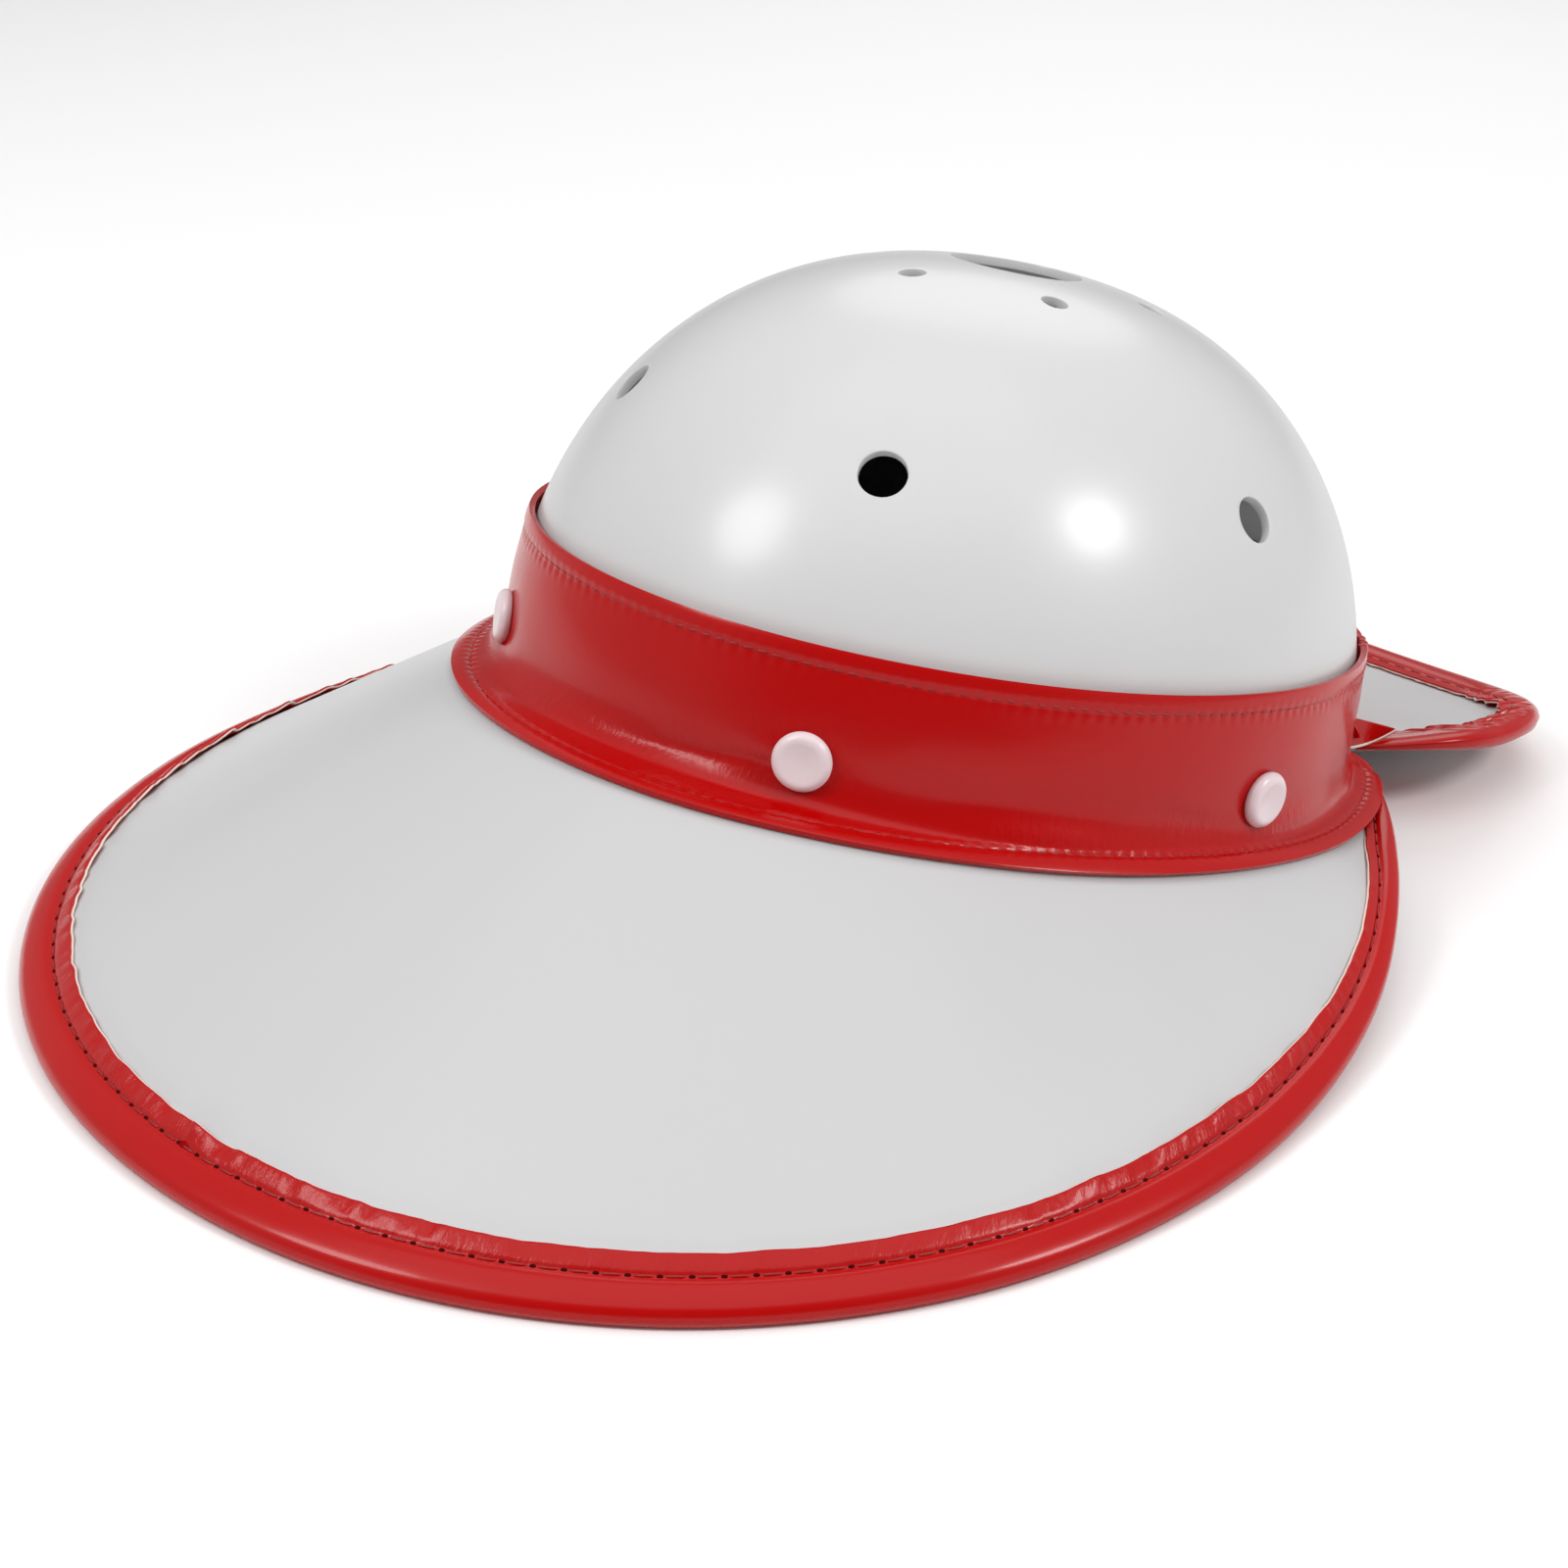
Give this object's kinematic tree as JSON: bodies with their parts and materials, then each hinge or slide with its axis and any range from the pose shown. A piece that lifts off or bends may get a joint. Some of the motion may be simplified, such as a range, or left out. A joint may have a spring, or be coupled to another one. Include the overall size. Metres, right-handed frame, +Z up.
{
  "type": "wide brim golf hat",
  "caption": "Hard white plastic dome hat with vents, a glossy red vinyl band held by snaps, a wide bent front brim and a back flap bound in red vinyl",
  "frame": {"origin": "Under the middle of the hat's box, on the surface that the hat rests on", "axes": "+Z up, the front brim towards -Y, the back flap towards +Y, +X to the wearer's left when worn facing -Y"},
  "size_m": [0.2926, 0.3838, 0.1351],
  "materials": {
    "dome_plastic": "smooth satin gloss, moulded",
    "headband_foam": "plain black foam",
    "red_vinyl": "glossy vinyl, stitched",
    "snap_plastic": "pearl gloss, moulded",
    "white_sheet": "satin vinyl sheet"
  },
  "bodies": {
    "root": {"crown_shell": "dome_plastic", "inner_headband": "headband_foam", "front_band": "red_vinyl", "back_band": "red_vinyl", "snap_cap_1": "snap_plastic", "snap_cap_2": "snap_plastic", "snap_cap_3": "snap_plastic", "snap_cap_4": "snap_plastic", "snap_cap_5": "snap_plastic", "snap_cap_6": "snap_plastic", "front_brim": "white_sheet", "brim_binding": "red_vinyl", "back_flap": "white_sheet", "flap_binding": "red_vinyl"}
  },
  "joints": []
}
